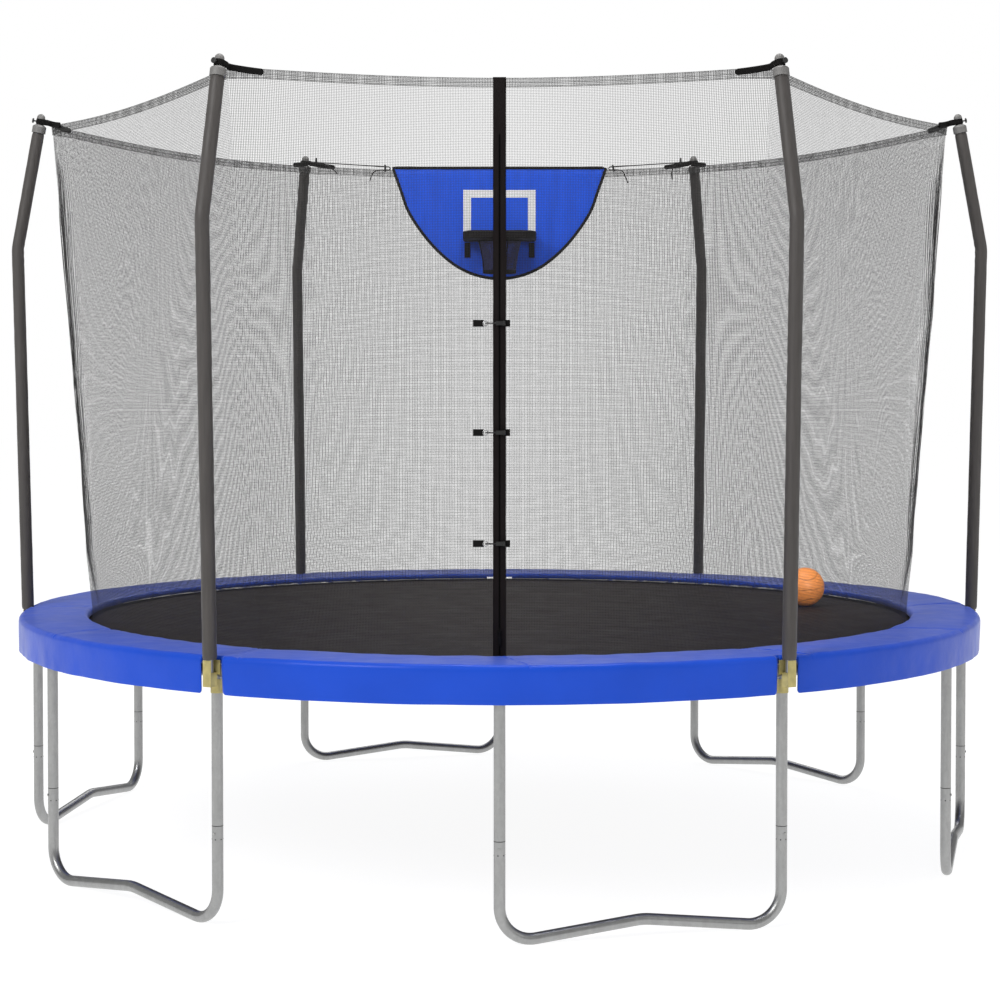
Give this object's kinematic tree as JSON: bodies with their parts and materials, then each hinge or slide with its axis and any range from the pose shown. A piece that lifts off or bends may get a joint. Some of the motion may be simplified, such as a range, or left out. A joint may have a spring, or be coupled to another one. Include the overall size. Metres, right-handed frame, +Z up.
{
  "type": "backyard trampoline",
  "caption": "Round backyard trampoline on W-shaped legs, with a blue spring pad, black mat, foam-sleeved poles, a zipped safety net and a hanging basketball hoop.",
  "frame": {"origin": "on the ground under the centre of the mat", "axes": "+Z up; -Y towards the net's door, +Y towards the backboard"},
  "size_m": [3.8074, 3.6856, 2.8],
  "materials": {
    "galvanised_tube": "satin",
    "plated_fastener": "satin",
    "zinc_bracket": "satin",
    "pole_sleeve": "matte",
    "cap_plastic": "matte",
    "black_webbing": "matte",
    "net_mesh": "matte",
    "net_band": "matte",
    "zip_fabric": "matte",
    "zip_metal": "polished",
    "hook_plastic": "gloss",
    "mat_fabric": "satin",
    "mat_webbing": "matte",
    "spring_steel": "satin",
    "pad_vinyl": "satin",
    "board_fabric": "matte",
    "board_piping": "matte",
    "rim_foam": "matte",
    "hoop_mesh": "matte",
    "black_cord": "matte",
    "ball_rubber": "satin"
  },
  "bodies": {
    "root": {"top_rail_1": "galvanised_tube", "top_rail_2": "galvanised_tube", "top_rail_3": "galvanised_tube", "top_rail_4": "galvanised_tube", "top_rail_5": "galvanised_tube", "top_rail_6": "galvanised_tube", "leg_base_1": "galvanised_tube", "leg_base_2": "galvanised_tube", "leg_base_3": "galvanised_tube", "leg_base_4": "galvanised_tube", "leg_base_5": "galvanised_tube", "leg_base_6": "galvanised_tube", "leg_uprights": "galvanised_tube", "pole_lower_tubes": "galvanised_tube", "pole_upper_tubes": "galvanised_tube", "leg_screws": "plated_fastener", "bracket_bolts": "plated_fastener", "cap_bolts": "plated_fastener", "pole_brackets": "zinc_bracket", "pole_sleeve_1": "pole_sleeve", "pole_sleeve_2": "pole_sleeve", "pole_sleeve_3": "pole_sleeve", "pole_sleeve_4": "pole_sleeve", "pole_sleeve_5": "pole_sleeve", "pole_sleeve_6": "pole_sleeve", "pole_caps": "cap_plastic", "strap_yokes": "black_webbing", "closure_patches": "black_webbing", "rim_straps": "black_webbing", "net_door_side": "net_mesh", "net_side_2": "net_mesh", "net_side_3": "net_mesh", "net_side_4": "net_mesh", "net_side_5": "net_mesh", "net_side_6": "net_mesh", "net_top_band": "net_band", "zip_tape": "zip_fabric", "zip_teeth": "zip_fabric", "closure_rings": "zip_metal", "cord_locks": "hook_plastic", "springs": "spring_steel", "safety_pad": "pad_vinyl", "pad_skirt": "pad_vinyl", "backboard": "board_fabric", "backboard_piping": "board_piping", "board_cord_left": "black_cord", "board_cord_right": "black_cord", "cord_tail_left": "black_cord", "cord_tail_right": "black_cord"},
    "mat": {"mat": "mat_fabric", "mat_hem": "mat_webbing", "v_rings": "spring_steel"},
    "ball": {"ball": "ball_rubber"},
    "zip_slider": {"zip_slider": "hook_plastic"},
    "zip_pull": {"zip_pull": "hook_plastic"},
    "hook_1": {"closure_hook_1": "hook_plastic"},
    "hook_2": {"closure_hook_2": "hook_plastic"},
    "hook_3": {"closure_hook_3": "hook_plastic"},
    "rim": {"hoop_rim": "rim_foam", "hoop_net": "hoop_mesh"}
  },
  "joints": [
    {"name": "mat_bounce", "type": "slide", "parent": "root", "child": "mat", "axis": [0, 0, 1], "range_m": [-0.15, 0.005], "stiffness_N_per_m": 5000, "springref_m": 0.0176, "deforming": ["springs"]},
    {"name": "ball_lift", "type": "slide", "parent": "mat", "child": "ball", "axis": [0, 0, 1], "range_m": [0, 1.4]},
    {"name": "zip_slide", "type": "slide", "parent": "root", "child": "zip_slider", "axis": [0, 0.0315, 0.9995], "range_m": [0, 1.57]},
    {"name": "zip_pull_swing", "type": "hinge", "parent": "zip_slider", "child": "zip_pull", "pos_m": [0, -1.5759, 0.95234], "axis": [-1, 0, 0], "range_deg": [0, 150]},
    {"name": "closure_hook_1_swing", "type": "hinge", "parent": "root", "child": "hook_1", "pos_m": [0.015, -1.57359, 1.23555], "axis": [0, 0.0315, 0.9995], "range_deg": [0, 120]},
    {"name": "closure_hook_2_swing", "type": "hinge", "parent": "root", "child": "hook_2", "pos_m": [0.015, -1.56241, 1.59055], "axis": [0, 0.0315, 0.9995], "range_deg": [0, 120]},
    {"name": "closure_hook_3_swing", "type": "hinge", "parent": "root", "child": "hook_3", "pos_m": [0.015, -1.55139, 1.94055], "axis": [0, 0.0315, 0.9995], "range_deg": [0, 120]},
    {"name": "rim_flex", "type": "hinge", "parent": "root", "child": "rim", "pos_m": [0, 1.476, 2.4], "axis": [1, 0, 0], "range_deg": [0, 60], "stiffness_Nm_per_rad": 3, "springref_deg": -20.05, "deforming": ["hoop_net"]}
  ]
}
